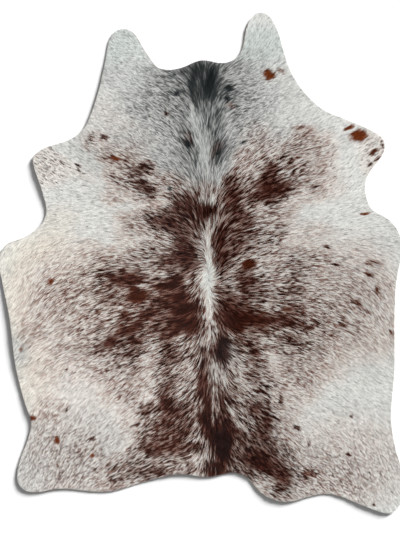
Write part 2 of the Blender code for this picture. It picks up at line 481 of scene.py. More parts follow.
BROWN["right ribs"] = [
    (10, 0, 4, 6, 0, .55), (17, -8, 6, 4, 80, .68), (13, -20, 9, 6, 0, .82), (16, -25, 12, 5, 0, .85),
    (9, -14, 4, 5, 0, .7), (33, -25, 12, 3.5, -3, .74), (37, -20, 4, 3, 0, .55), (35, -35, 7, 4, 0, .42),
    (36, -12, 7, 4, 15, .35), (38, -4, 6, 4, 0, .38), (42, -15, 26, 18, 0, .22), (64, -22, 16, 12, 0, .03),
    (70, -10, 10, 12, 0, .06), (22, -40, 9, 4, 100, .45), (24, -50, 8, 5, 100, .45), (44, 2, 10, 4, 0, .2),
    (24, -30, 8, 6, 0, .32), (24, -8, 5, 8, 0, .35), (14, -33, 6, 5, 0, .5), (12, -44, 6, 7, 0, .3),
    (7.5, -36, 6.5, 3.4, 100, .85),
]
BROWN["loin and rump, left"] = [
    (-15, -54, 6, 4, 80, .72), (-14, -61, 7, 4, 0, .82), (-23, -62, 4, 2.5, 10, .7),
    (-18, -68, 8, 4, 20, .55), (-11, -70, 7, 5, 0, .72), (-20, -77, 9, 4.5, 12, .7),
    (-22, -73, 6, 4, 30, .3), (-2, -77, 4.5, 3.5, 0, .7), (-8, -76, 6, 4, 0, .6), (-15, -46, 5, 6, 0, .45),
    (-31, -86, 9, 4.5, 12, .42), (-22, -88, 8, 3.5, 0, .66), (-11, -87, 9, 5, 0, .55),
    (-5, -62, 9, 4, 90, .55), (-38, -88, 5, 3, 10, .25), (-58, -80, 22, 14, 0, .05), (-7, -48, 6, 6, 0, .2),
    (-24, -52, 8, 6, 0, .1),
]
BROWN["left ribs, clumps"] = [
    (-32.5, -22, 3.4, 2.2, 10, .75), (-31, -28, 4, 2.2, 25, .75), (-37.5, -33, 3.2, 2, 30, .72),
    (-28, -33, 3.4, 2.2, 0, .75), (-26, -26, 3, 2, 20, .7), (-22.5, -22, 3.4, 2, 15, .7),
    (-43.5, -37, 2.8, 1.4, 45, .6), (-34.5, -7, 4, 2, 10, .6), (-40, -5, 3.4, 2, 20, .35),
    (-39.5, -11, 2.8, 2, 0, .3), (-28, -7, 3, 1.8, 0, .6), (-34, -3, 2.4, 1.3, 0, .55),
    (-45, -14, 3.4, 1.6, 30, .3), (-42, -26, 3, 2, 30, .3), (-33, -15, 3, 1.8, 0, .4),
    (-14.3, -8, 6.5, 1.8, 21, .85), (-8.5, -14, 4, 2, 5, .85), (-7.5, -19.5, 5.5, 2.6, 15, .9),
    (-5.5, -25, 3.5, 2, 30, .7), (-14.5, -18.5, 3, 1.4, 10, .6), (-12, -30, 3.5, 1.6, 40, .6),
]
print(len(BROWN), "regions so far")

# %% [markdown]
# Between the fields lie thin patches that only dull the white, and a faint ticking over whole flanks.

# %% Thin patches and ticking
BROWN["neck sides"] = [
    (11.8, 65.5, 2.4, 1.2, 20, .5), (6.5, 47, 4, 2.4, 60, .4), (-5.5, 51, 3, 2, 100, .4),
]
BROWN["smaller patches"] = [
    (20, 31, 4, 4, 0, .14), (29, 22, 4, 4, 0, .14), (-4, 31, 4, 4, 0, .12), (-30, -20, 5, 4, 0, .12),
    (20, 39, 5, 4, 0, .16), (-22, 39, 4, 3, 0, .15), (54, -20, 5, 4, 0, .1), (29, -20, 4, 4, 0, .14),
    (54, -45, 6, 5, 0, .08), (-64, -45, 6, 5, 0, .07), (-30, -53, 5, 5, 0, .08), (3.4, -53, 3, 4, 0, .2),
    (-29, -70, 4, 4, 0, .1), (-56, -95, 8, 5, 0, .07), (45, 30, 5, 4, 0, .1), (53, 31, 5, 4, 0, .06),
    (-13, -12, 5, 4, 0, .14), (12, -28, 5, 4, 0, .18), (20, -37, 5, 4, 0, .2), (-15, -79, 8, 4, 0, .4),
    (-66, -12, 5, 5, 0, .1), (-55, -3, 6, 4, 0, .05), (-13, -11, 5, 4, 0, .25), (-38, -28, 5, 4, 0, .15),
    (62, -28, 5, 4, 0, .1), (-22, -28, 5, 3, 0, .15), (3, -45, 3, 5, 0, .25), (3.4, -36, 4, 4, 0, .32),
    (37, -28, 5, 4, 0, .2), (20, -11, 5, 4, 0, .2), (45, 13, 8, 4, 0, .07), (28.5, 5, 5, 4, 0, .15),
    (37, 39, 5, 4, 0, .2), (-35, -54, 7, 5, 0, .16), (-47, -45, 6, 4, 0, .12), (-64, -62, 6, 5, 0, .12),
    (45, -53, 5, 5, 0, .13), (37, -62, 5, 5, 0, .12), (-13, -66, 6, 8, 0, .2), (-34, -96, 9, 4, 0, .2),
]
BROWN["ticking"] = [
    (-45, -85, 40, 18, 0, .035), (45, -88, 35, 14, 0, .04), (50, -95, 16, 8, 0, .09),
    (67, -30, 16, 9, 0, .08), (-45, -50, 35, 16, 0, .04), (-20, 55, 24, 18, 0, .05),
]
print(len(BROWN), "regions so far")

# %% [markdown]
# The gaps between two fields are seldom white either. These rows keep them at the photo's mean.

# %% Hair between the fields
BROWN["between, front"] = [
    (24, 51, 8, 7, 0, .12), (-30, 47, 5, 4, 0, .14), (3, 30, 4, 4, 0, .5), (20, 31, 3.5, 5, 0, .25),
    (-16, 22, 9, 5, 0, .15), (-20, 13, 12, 5, 0, .18), (2, 14, 6, 5, 0, .3), (26, 14, 11, 5, 0, .16),
    (-43, 4, 8, 4, 0, .12), (-14, 5, 11, 5, 0, .2), (-43, -3, 8, 5, 0, .2), (-5, -4, 4, 5, 0, .4),
    (12, -3, 5, 4, 0, .3), (37, -3, 6, 4, 0, .15),
]
BROWN["between, middle"] = [
    (-9, -11, 7, 5, 0, .35), (20, -12, 5, 6, 0, .5), (-37, -20, 8, 5, 0, .22), (-58, -21, 11, 8, 0, .07),
    (25, -20, 7, 5, 0, .32), (45, -20, 6, 4, 0, .1), (-71, -29, 5, 6, 0, .1), (-47, -30, 6, 4, 0, .22),
    (3, -28, 8, 4, 0, .3), (42, -29, 9, 5, 0, .32), (-50, -37, 12, 3.5, 0, .2), (-13, -37, 6, 5, 0, .3),
    (2, -38, 4, 5, 0, .45), (20, -36, 4, 5, 0, .25), (45, -37, 9, 5, 0, .28), (40, -46, 9, 5, 0, .25),
]
BROWN["between, back"] = [
    (-9, -53, 9, 6, 0, .22), (28, -53, 9, 5, 0, .22), (-9, -62, 7, 5, 0, .25), (18, -63, 10, 6, 0, .3),
    (-30, -61, 5, 5, 0, .12), (6, -70, 14, 4, 0, .2), (-47, -79, 5, 4, 0, .1), (-12, -79, 7, 4, 0, .35),
    (2, -80, 5, 4, 0, .3), (14, -87, 9, 4, 0, .4), (40, -88, 7, 4, 0, .2),
]
print(len(BROWN), "regions so far")

# %% [markdown]
# A dark line runs along the backbone to the tail, and the right side of the rump has patches of its own.

# %% Tail line and right rump
BROWN["tail line"] = [
    (1, -52, 11, 3.4, 92, .84), (2, -64, 7, 3.6, 90, .86), (9, -58, 7, 4, 98, .84),
    (8.5, -75, 12, 5.5, 90, .99), (3, -70, 5, 3.5, 90, .88), (16, -72, 7, 4.5, -50, .78),
    (5, -87, 6, 4, 0, .9), (16, -58, 5, 5, 0, .3),
]
BROWN["rump, right"] = [
    (24, -61, 6, 4.5, 0, .62), (21, -63, 3.5, 3, 0, .55), (29, -66, 3, 3, 0, .7), (26, -70, 5, 4.5, 0, .7),
    (27, -76, 9, 5, -40, .6), (20, -81, 9, 6, 0, .74), (28, -86, 11, 5, -22, .84), (34, -92, 5.5, 4, 0, .62),
    (44, -89, 4, 2, -10, .5), (35, -82, 5, 4, -40, .42), (30, -72, 14, 7, -62, .26), (31, -97, 6, 3, 0, .35),
    (12, -50, 6, 3, -55, .45), (62, -80, 24, 16, 0, .04), (17, -91, 6, 4, 0, .6),
]
print("patches in all", sum(len(rows) for rows in BROWN.values()))

# %% [markdown]
# The neck and the tail line are charcoal, which is a blacker and colder pigment than the brown. White
# rows are white hair that lies over the rest, as the bright crest does along the backbone.

# %% Charcoal and white
CHARCOAL = [
    (0, 0, 100, 120, 0, .035), (-.5, 77, 10, 6, 90, .6), (-3.4, 77, 9, 1.1, 90, .6),
    (4.6, 76, 7, 2.8, 84, .95), (2, 82, 13, 4, 0, .5), (.5, 71, 4, 4, 0, .3), (9, 71, 5, 5, 0, .36),
    (3.5, 60, 3, 8, 0, .18), (-40, 48, 15, 8, 0, .03), (33, 51, 13, 8, 0, .06), (28, 74, 18, 14, 0, .05),
    (14, 74, 6, 6, 0, .04), (-12, 77, 8, 6, 0, .3), (6.2, 58, 13, 3, 92, .22), (-6, 51, 8, 2.8, 100, .26),
    (8.5, 46.5, 5, 3, 50, .36), (0, 58, 22, 13, 90, .13), (2, 38, 12, 8, 90, .16), (-76, -37, 4, 7, 0, .1),
    (7.5, -36, 6.5, 3.4, 100, .5), (12, -36, 5, 4, 0, .35), (8.5, -76, 12, 4.5, 90, .2),
    (-6, -27, 6, 5, 0, .06), (4, -87, 5, 2.5, 0, .35), (-14, 66, 10, 10, 0, .14), (16, 66, 10, 10, 0, .14),
    (0, 20, 6, 6, 0, .3), (-27, 68, 8, 7, 0, .07), (-58, -77, 18, 12, 0, .05), (-22, 80, 6, 5, 0, .08),
    (20, 83, 5, 7, 0, .08), (-14, 42, 7, 6, 0, .12), (-13, 60, 13, 12, 0, .06), (13, 60, 13, 14, 0, .07),
    (-30, 49, 14, 7, 0, .05), (-38, 79, 5, 4, 0, .05), (-55, -86, 30, 16, 0, .07), (52, -90, 30, 14, 0, .07),
    (4, -48, 9, 8, 0, .2),
]
WHITE = [
    (-3.2, 60, 9, 1.6, 102, .7), (.6, 47, 10, 2.6, 92, .6), (2.6, 35, 9, 3, 84, .35),
    (5.5, 29, 5, 1.4, 70, .5), (2.6, 13, 6, 1.7, 88, .75), (2.8, 2, 8, 2, 90, .78),
    (2.7, -7, 8, 2.8, 90, .88), (2.8, -19, 9, 2, 90, .9), (2.6, -31, 6, 1.1, 92, .6),
    (5.6, -45, 8, 1.1, 98, .48), (4.6, -62, 8, .7, 90, .6), (5.4, -82, 8, .5, 90, .45),
    (-4, -72, 4, 1.2, 60, .25), (1.5, -80, 8, .7, 112, .45), (9, -48, 7, 1, -58, .5),
    (12, -62, 8, 1.1, -62, .5), (16, -68, 6, 1, -48, .4),
]
print(len(CHARCOAL), "charcoal rows,", len(WHITE), "white rows")

# %% [markdown]
# A spot has a sharper edge than a patch, and one hue. The second table holds the share of coloured hair
# in each kind: most are nearly solid, and a soft one lets half of the white show.

# %% Spots
SPOTS = {     # kind: (across, along, half length, half width, turn)
    "brown": [
        (-15.1, 62.5, .9, .9, 0), (-24.4, 41, 1.8, 1.2, 0), (-25.6, 34, 2.2, .9, 0),
        (-52.1, 41, 1.3, .6, -40), (-51.6, 38.8, 1.2, .5, -40), (52.5, 6.9, 1.6, .8, 0),
        (47.5, 31.9, 1.5, .7, 10), (56.3, -.9, 1.1, .7, -15), (22.3, -37.4, 2.2, 1.3, 0),
        (45.4, -27.3, 1.9, 1.2, 0), (-57.1, -62.2, .9, 1.2, 0), (-46.2, -73.8, 1.7, 1.1, 15),
        (-44.9, -86.6, 1.2, .6, 30), (-60.9, -85, .5, 1, -20), (39.9, -69.3, 1.5, 1.1, -25),
        (63, -64.3, .6, .9, 0), (44.8, -76.2, .9, 1.1, 0), (33.2, -57.4, 1.2, 2.2, 10),
        (-33.2, -3, 1.9, .9, 0), (-38, -14, 2, 1, 25), (-38, -91.4, 1.6, .7, 10), (-41, 53, 1.8, .8, -15),
        (72.2, -101.7, .7, .7, 0), (-28, -68, 1.8, .9, 35),
    ],
    "red": [
        (72.2, 46.6, 2.5, 1, 30), (19.9, -.4, 3.4, 2.1, 8), (-27, -14.2, 5.2, 3, 5), (-28.8, -11, 2, 1, 0),
        (61.7, -80.7, 1.7, .6, -30),
    ],
    "rust": [
        (28.2, 79, 2.3, 2.3, 0), (65.9, 53.4, 3.6, 2.4, 12), (61.6, 56.7, 2, .9, 20),
        (-36.2, 43.7, 2.2, .8, -5), (68.3, 20.7, 1.9, .7, 0), (-63.4, -8, 1.3, 1.3, 0),
        (-76, -36.2, .8, .6, 0), (-60.9, -74.8, 1.1, 1.5, 0), (-46.2, -80.7, .9, .9, 0),
        (-71, -64.9, 1, 1.8, 80),
    ],
    "charcoal": [
        (-10.5, 71, 1.5, 1.2, 0), (11.3, 73.4, 1.8, 1.3, 0), (10.5, 69.2, 1.3, 1.6, 0),
        (17.2, 50.8, 1.4, .7, 15), (-5.9, 49.5, 1.2, 1.6, 20), (6.7, 46.3, 1.1, 1.1, 0),
        (-13.4, 31, 1, .9, 0),
    ],
    "soft": [
        (33.5, 80.5, 1.6, 1, -30), (40.7, 56.7, 1.9, .8, 10), (42.6, 54, 1.5, 1.2, 0),
        (-37.5, 43.5, 3.2, 1.5, -5), (73.9, 43.8, 1.5, .7, 45), (72, -.3, 2.8, 1.2, -15),
        (-57, -45, .9, .6, 0), (55, -31, 1.4, .8, -30), (35.3, -19.8, 2.4, 1.3, 0),
        (70, -4.7, 1.9, 1.1, -25), (73, -12, 1.3, 2.2, 10), (64.5, -16.6, 2.2, 1, -15),
        (69.7, -20.6, 1.6, .9, -30), (58.8, -26, 1.9, 1.6, -30), (79.2, -29.5, 1, 1.5, 30),
        (45, -88.5, 3, 1.3, -10), (-38.5, -87.8, 2, .7, 15),
    ],
    "dark": [
        (70.9, 41.2, 1.2, .8, 45), (75.9, 49.6, 1.6, .5, 100),
    ],
}
SPOT_SHARES = {"brown": 0.82, "red": 0.94, "rust": 0.94, "charcoal": 0.9, "soft": 0.55, "dark": 0.75}
print(sum(len(rows) for rows in SPOTS.values()), "spots")

# %% [markdown]
# Finer differences have rows too: where dark hair lies in shorter strands, where single dark strands
# stand out in white hair, and where the coat turns redder, warmer, as on the cream left flank, or cooler
# and a little darker, as on the cheeks. The last number is how much of that there is.

# %% Strands, flecks and casts
SHORT_STRANDS = [(24, -80, 22, 18, 0, .45), (-22, -80, 20, 16, 0, .4)]
FLECKS = [
    (-65, 40, 8, 6.5, -20, .17), (-51, 38, 6, 4, -30, .03), (72, 46, 6, 8, 0, .14),
    (-60, -76, 13, 10, 0, .06), (-45, -90, 20, 8, 0, .05), (-60, -18, 14, 24, 0, .05),
    (66, -12, 12, 22, 0, .04), (58, -86, 20, 15, 0, .05), (52, 34, 9, 7, 30, .03), (-42, 50, 9, 4, -20, .06),
    (20, 64, 10, 12, 0, .04),
]
RED = [(-27, -18, 24, 14, 10, .12), (-20, -74, 16, 12, 0, .1), (22, -24, 20, 7, 0, .08)]
WARM = [
    (-60, 19, 8, 5, 0, .7), (-70, 7, 14, 7, 20, .75), (-80, -12, 8, 20, 0, .7), (-72, -48, 9, 14, 0, .6),
    (-50, -8, 25, 25, 0, .25), (-35, 43, 8, 4, 0, .3), (40, -30, 40, 20, 0, .15),
]
COOL = [
    (-33, 92, 9, 12, 90, .9), (25, 92, 9, 14, 90, .95), (-25, 78, 16, 12, 0, .4), (24, 74, 14, 12, 0, .3),
    (2, 55, 10, 26, 0, .4), (3, -5, 5, 14, 0, .6),
]
print(len(FLECKS), "fleck rows,", len(WARM) + len(COOL), "casts")

# %% [markdown]
# A patch fades over its outer part, and places are nudged by slow noise before they are looked up, so
# that no ellipse can be made out. Noise that is averaged along the hair comes out as strands.


# %% Reading the pattern
PATCH_CORE = 0.4
PATCH_EDGE = 1.5
PATCH_SOFTER = 0.4
STRAND_SAMPLES = 9


def fade(distance, full, none):
    """1 up to the distance full, then smoothly down to 0 at the distance none."""
    share = np.clip((distance - full) / (none - full), 0, 1)
    return 1 - share * share * (3 - 2 * share)


def nudged(points, reach, cell, seed):
    """The points, each pushed a little by slow noise."""
    push = np.column_stack([noise(points, cell, seed), noise(points, cell, seed + 1)]) - 0.5
    return points + 2 * reach * push


def ellipse_distance(points, row):
    """How far out in the row's ellipse each point lies: 1 is its outline."""
    across, along, half_length, half_width, turn = row[:5]
    offset = points / CM - (across, along)
    c, s = math.cos(math.radians(turn)), math.sin(math.radians(turn))
    return np.hypot((offset @ (c, s)) / half_length, (offset @ (-s, c)) / half_width)


def cover(points, rows, core=PATCH_CORE, edge=PATCH_EDGE, softer=PATCH_SOFTER):
    """The share of hair that the rows colour at each point, from 0 to 1. Thin patches fade slower."""
    bare = np.ones(len(points))
    for row in rows:
        more = softer * (1 - row[5])
        bare *= 1 - row[5] * fade(ellipse_distance(points, row), core - more, edge + more)
    return 1 - bare


def combed_noise(points, way, cell, length, seed):
    """Noise drawn out along the hair by a length at each point, about 0 with a spread of 1."""
    total = np.zeros(len(points))
    for step in np.linspace(-0.5, 0.5, STRAND_SAMPLES):
        total += noise(points + way * (step * length)[:, None], cell, seed)
    return (total - total.mean()) / total.std()


def ranked(values):
    """Each value's place among all of them, from 0 to 1."""
    rank = np.empty(len(values))
    rank[np.argsort(values, kind="stable")] = np.linspace(0, 1, len(values))
    return rank


row_out = np.array([[0, 0], [5, 0], [10, 0], [15, 0]]) * CM
print("a patch fades outwards as", cover(row_out, [(0, 0, 10, 5, 0, 0.8)]).round(2))

# %% [markdown]
# ## One lock of hair
#
# A lock is a few dozen hairs lying together: broad at the root, drawn to a point, with a soft ridge.
# Blender's hair curves would be finer, but half a million of them weigh too much. So one lock is
# modelled, a three-sided cone on its side without the side underneath, and copied.

# %% The lock
bpy.ops.object.select_all(action="DESELECT")
bpy.ops.mesh.primitive_cone_add(
    vertices=3, radius1=0.5, depth=1.0, end_fill_type="NOTHING", location=(0.5, 0, 0),
    rotation=(math.radians(90), 0, math.radians(90)))
lock = bpy.context.active_object
lock.name = "lock"
bpy.ops.object.transform_apply(location=True, rotation=True, scale=True)
bpy.ops.object.mode_set(mode="EDIT")
bpy.ops.mesh.select_mode(type="FACE")
bpy.ops.mesh.select_all(action="DESELECT")
bpy.ops.object.mode_set(mode="OBJECT")
for face in lock.data.polygons:
    face.select = face.normal.z < 0
bpy.ops.object.mode_set(mode="EDIT")
bpy.ops.mesh.delete(type="FACE")
bpy.ops.object.mode_set(mode="OBJECT")
lock_corners = np.array([vert.co for vert in lock.data.vertices])
lock_low, lock_high = lock_corners.min(0), lock_corners.max(0)
lock_corners = (lock_corners - lock_low * (0, 0, 1)) / (lock_high - lock_low)
lock_faces = np.array([face.vertices for face in lock.data.polygons])
bpy.data.objects.remove(lock)
print("lock", len(lock_corners), "corners", len(lock_faces), "faces", lock_corners.round(2).tolist())

# %% [markdown]
# ## Where the locks grow
#
# Roots strewn by chance would leave bare gaps. So they stand on a grid of triangles, each pushed off its
# place so that no row shows, and close enough that any spot lies under about five locks.

# %% Roots
ROOT_SPACING = 2.6 * MM
ROOT_PUSH = 0.42
ROOT_INSET = 0.6 * MM

row_step = ROOT_SPACING * math.sqrt(3) / 2
grid_rows = np.arange(cad_box[0].y, cad_box[1].y, row_step)
grid_columns = np.arange(cad_box[0].x, cad_box[1].x, ROOT_SPACING)
roots = np.stack(np.meshgrid(grid_columns, grid_rows), axis=-1)
roots[1::2, :, 0] += ROOT_SPACING / 2
roots = roots.reshape(-1, 2)
roots += ROOT_SPACING * ROOT_PUSH * rng.uniform(-1, 1, roots.shape)
roots = roots[read_chart(edge_chart, roots) > ROOT_INSET]
print(len(roots), "locks")

# %% [markdown]
# Hair is short on the cheeks, the sides of the neck and the shanks, longer on the ribs, and longest along
# the crest of the neck and back. It lies nearly flat. No two locks share a length, a turn or a lean, and
# near the cut they are trimmed, so their tips reach only just past it.

# %% Length and lean
LENGTHS_MM = [     # (across, along, half length, half width, turn, length) over the base
    (-32, 94, 16, 14, 0, 13), (30, 94, 16, 14, 0, 13), (-70, 45, 18, 30, 0, 17), (68, 50, 18, 30, 0, 17),
    (-28, 66, 22, 18, 0, 15), (28, 66, 22, 18, 0, 15), (-52, -60, 22, 22, 0, 17), (54, -60, 22, 22, 0, 17),
    (-64, -90, 24, 20, 0, 13), (62, -92, 24, 20, 0, 12.5), (2, 40, 12, 45, 0, 30), (3, -60, 10, 30, 0, 27),
    (-70, -15, 14, 30, 0, 25), (72, -15, 14, 30, 0, 25),
]
BASE_LENGTH_MM = 22
LENGTH_FADE = (0.4, 1.4)
LOCK_WIDTH = 3.0 * MM
LOCK_RIDGE = 1.2 * MM
LENGTH_SPREAD = (0.72, 1.22)
TURN_SPREAD, LEAN_SPREAD, ROLL_SPREAD = 8.5, 2.2, 22     # degrees
LEAN_DEGREES = 10.0
LEAN_AT_EDGE, EDGE_BAND = 0.6, 8 * MM     # hair lies flatter within this band of the cut
RIM_OVERHANG = 3.0 * MM
SHORTEST = 5 * MM


def turned(a, b, angle):
    """Two coordinates after a turn in their plane."""
    c, s = np.cos(angle), np.sin(angle)
    return a * c - b * s, a * s + b * c


flow = comb(roots)
length = np.full(len(roots), float(BASE_LENGTH_MM))
for row in LENGTHS_MM:
    weight = fade(ellipse_distance(roots, row), *LENGTH_FADE)
    length += weight * (row[5] - length)
hair_length = length * MM
length = hair_length * rng.uniform(*LENGTH_SPREAD, len(roots))
turn = np.radians(rng.normal(0, TURN_SPREAD, len(roots)))
way = np.column_stack(turned(flow[:, 0], flow[:, 1], turn))
root_inside = read_chart(edge_chart, roots)
tip_inside = read_chart(edge_chart, roots + way * length[:, None])
over = tip_inside < -RIM_OVERHANG
room = (root_inside + RIM_OVERHANG) / np.maximum(root_inside - tip_inside, 1e-6)
length = np.where(over, np.maximum(length * np.clip(room, 0, 1), SHORTEST), length)
lean = rng.normal(LEAN_DEGREES, LEAN_SPREAD, len(roots))
lean = np.radians(lean * np.clip(root_inside / EDGE_BAND, LEAN_AT_EDGE, 1))
roll = np.radians(rng.normal(0, ROLL_SPREAD, len(roots)))
print("lock lengths", (np.percentile(length, [5, 50, 95]) / MM).round(1), "mm, trimmed", int(over.sum()))

# %% [markdown]
# Each lock takes its colour from where most of it shows, a little past its middle. All the tables are
# read there, and together they give the share of coloured hair. Spots and white rows are small, so they
# are read at places that are nudged less.

# %% Share of coloured hair
SHOWN = 0.6     # how far along a lock its colour is read
PATCH_NUDGE, PATCH_NUDGE_CELL = 1.6 * CM, 5 * CM
SPOT_NUDGE, SPOT_NUDGE_CELL = 0.35 * CM, 1.5 * CM
SPOT_FADE = (0.55, 1.4)
WHITE_FADE = (0.3, 1.3, 0)

shown_at = roots + way * (SHOWN * length)[:, None]
wide = nudged(shown_at, PATCH_NUDGE, PATCH_NUDGE_CELL, 21)
near = nudged(shown_at, SPOT_NUDGE, SPOT_NUDGE_CELL, 31)

brown = 1 - np.prod([1 - cover(wide, rows) for rows in BROWN.values()], axis=0)
charcoal = cover(wide, CHARCOAL)
white = cover(near, WHITE, *WHITE_FADE)
spot = {
    kind: cover(near, [row + (solid,) for row in SPOTS[kind]], *SPOT_FADE)
    for kind, solid in SPOT_SHARES.items()}
spots = 1 - np.prod([1 - value for value in spot.values()], axis=0)
share = 1 - (1 - brown * (1 - white)) * (1 - charcoal * (1 - white))
share = 1 - (1 - share) * (1 - spots)
print("mean share of coloured hair", round(float(share.mean()), 3))

# %% [markdown]
# Which locks are brown is picked by their rank in noise. A fine noise drawn out along the hair gives the
# strands of a roan coat. A broader one gathers them into clumps where brown is thick, and plain chance
# parts them where it is thin. Where the share is small, its few locks are very dark. Where it is large,
# the few light locks show as gaps. Flecks are single dark strands on top.

# %% Pigment of each lock
FINE_CELL, CLUMP_CELL, SLOW_CELL = 2.6 * MM, 6 * MM, 40 * MM
FINE, SLOW = 0.8, 0.06     # the weights of the fine and the slow noise
FLECK_LENGTH = 8 * MM
FLECK_DARKNESS = 0.9
FLECK_FADE = (0.6, 1.3)
FLECK_CUT = (0.6, 1.4)     # of the flecks' share

strand_length = hair_length * np.clip(0.45 + 1.1 * share, 0, 1) * (1 - cover(roots, SHORT_STRANDS))
broad = 0.12 + 0.35 * share
single = np.clip(0.7 - 1.2 * share, 0.26, 1)
strand_rank = (
    FINE * combed_noise(shown_at, flow, FINE_CELL, 0.65 * strand_length, 41)
    + broad * combed_noise(shown_at, flow, CLUMP_CELL, 1.1 * strand_length, 42)
    + SLOW * combed_noise(shown_at, flow, SLOW_CELL, 0.5 * hair_length, 43)
    + single * rng.normal(0, 1, len(roots)))
strand_rank = ranked(strand_rank / np.sqrt(FINE ** 2 + broad ** 2 + SLOW ** 2 + single ** 2))
power = 2.4 - 0.8 * share     # how much darker the first strands are than the last
ticks = share * (power + 1) * (1 - strand_rank) ** power
gaps = 1 - (1 - share) * 3 * strand_rank ** 2
darkness = np.clip(ticks + share * (gaps - ticks), 0, 1)

flecks = cover(wide, FLECKS, *FLECK_FADE)
fleck_rank = ranked(combed_noise(shown_at, flow, FINE_CELL, np.full(len(roots), FLECK_LENGTH), 44))
picked = fade(fleck_rank / np.maximum(flecks, 1e-6), *FLECK_CUT)
darkness = np.maximum(darkness, FLECK_DARKNESS * picked)
print("mean darkness", round(float(darkness.mean()), 3))

# %% [markdown]
# A lock has one hue, so charcoal takes over where it is more than about half of the pigment, and it is
# more even there than brown is. Rust comes from the spots and from the redder fields.

# %% Hue of each lock
hue_total = np.maximum(brown + 1.4 * flecks + charcoal + spots, 1e-6)
charcoal_hue = np.clip(((charcoal + spot["charcoal"]) / hue_total - 0.25) / 0.5, 0, 1)
darkness += charcoal_hue * (0.15 + 0.4 * share) * (share - darkness)
rust_hue = np.max([spot["rust"], 0.3 * spot["red"], 0.5 * spot["soft"], cover(wide, RED)], axis=0)
warm = cover(wide, WARM)
cool = cover(wide, COOL)
print("charcoal locks", int((charcoal_hue > 0.5).sum()), "rust locks", int((rust_hue > 0.5).sum()))

# %% [markdown]
# ## Hair material
#
# Cow hair, combed and dry: keratin, with the soft gloss of hair that has been brushed. White hair isn't
# pure white but a warm pale grey. Brown hair goes from taupe, where it is mixed with white, to a dark
# seal brown. The charcoal of the neck is blacker and colder, and rust is the red of single spots. Each
# lock carries its pigment, its warm and cool tints with its painted shade, and a map across its hairs,
# which the nodes turn into colour.

# %% Hair material
hair, shader = new_material("combed_cow_hair", Roughness=0.45, IOR=1.55, Specular_IOR_Level=0.04)
pigment = add(hair, "ShaderNodeAttribute", attribute_name="pigment")
hues = add(hair, "ShaderNodeSeparateColor", {"Color": pigment.outputs["Color"]})
cast_and_shade = add(hair, "ShaderNodeAttribute", attribute_name="cast_and_shade")
# red and green are warm and cool tints, blue is painted shade
casts = add(hair, "ShaderNodeSeparateColor", {"Color": cast_and_shade.outputs["Color"]})
strand = add(hair, "ShaderNodeAttribute", attribute_name="strand")
fine = add(hair, "ShaderNodeTexNoise", {"Vector": strand.outputs["Vector"], "Scale": 1.0, "Detail": 2.0})
streaks = add(hair, "ShaderNodeValToRGB", {"Fac": fine.outputs["Fac"]}, [(0.34, "D6D2CF"), (0.6, "FFFFFF")])
ramps = {     # from white hair to full pigment
    "brown": [
        (0, "F1EFEA"), (0.25, "CCBDB5"), (0.5, "9F867C"), (0.65, "845C50"), (0.8, "582A1F"), (1, "240902")],
    "charcoal": [(0, "EDEEEB"), (0.35, "A3A4A3"), (0.6, "626465"), (0.85, "3F4445"), (1, "1F2425")],
    "rust": [(0, "EFEDE8"), (0.3, "C99F84"), (0.6, "A45E3A"), (0.85, "8C4724"), (1, "783516")],
}
tones = {
    hue: add(hair, "ShaderNodeValToRGB", {"Fac": hues.outputs["Red"]}, stops).outputs["Color"]
    for hue, stops in ramps.items()}
coat = tones["brown"]
for amount, other, blend in [
        (hues.outputs["Green"], tones["charcoal"], "MIX"),
        (hues.outputs["Blue"], tones["rust"], "MIX"),
        (casts.outputs["Red"], linear("FFFBF3"), "MULTIPLY"),
        (casts.outputs["Green"], linear("EDF4F4"), "MULTIPLY"),
        # painted shade, carried in the lock's third tint channel
        (1.0, casts.outputs["Blue"], "MULTIPLY"),
        (1.0, streaks.outputs["Color"], "MULTIPLY")]:
    mix = add(hair, "ShaderNodeMix", {0: amount, 6: coat, 7: other}, data_type="RGBA", blend_type=blend)
    coat = mix.outputs[2]
hair.node_tree.links.new(coat, shader.inputs["Base Color"])
print("hair nodes", len(hair.node_tree.nodes))

# %% [markdown]
# ## The hair in place
#
# Dark hair swallows some of the light that falls between its neighbours, and a hollow between clumps lies
# in shade, so a lock's colour is darkened with painted shade by its share of pigment and its clump. No two
# strands are quite as bright, so chance makes each a little lighter or darker. Full clumps lie a little
# higher.

# %% Shade and height of each lock
SHADE_CELL, SLOW_SHADE_CELL = 3.0 * MM, 3 * CM
# painted shade: HOLLOW_SHADE darkens locks in hollows between clumps, DARK_HAIR_SHADE locks among dark hair;
# LOCK_SHADE and SLOW_SHADE vary by chance
HOLLOW_SHADE, LOCK_SHADE, SLOW_SHADE = 0.085, 0.055, 0.08
DARK_HAIR_SHADE, DARK_HAIR_SHARE = 0.34, 0.35
SHADE_LIMITS = (0.4, 1.12)
CLUMP_RISE, CLUMP_BAND = 0.25 * MM, 12 * MM     # full height from this far inside the cut

clump = np.clip(combed_noise(shown_at, flow, SHADE_CELL, 0.8 * strand_length, 52), -2, 2)
# painted shade in the hollows between clumps, plus a chance difference per lock
shade = 1.0 - HOLLOW_SHADE * np.maximum(1 - clump, 0) ** 1.5 + LOCK_SHADE * rng.normal(0, 1, len(roots))
shade += SLOW_SHADE * (noise(shown_at, SLOW_SHADE_CELL, 51) - 0.5)
shade = np.clip(shade * (1 - DARK_HAIR_SHADE * (1 - np.exp(-share / DARK_HAIR_SHARE))), *SHADE_LIMITS)
base_height = read_chart(skin_chart, roots) + CLUMP_RISE * clump * np.clip(root_inside / CLUMP_BAND, 0, 1)
print("shade", np.percentile(shade, [5, 50, 95]).round(2))

# %% [markdown]
# Each copy of the lock is scaled, rolled about its length, leant up from the skin and turned to its way.


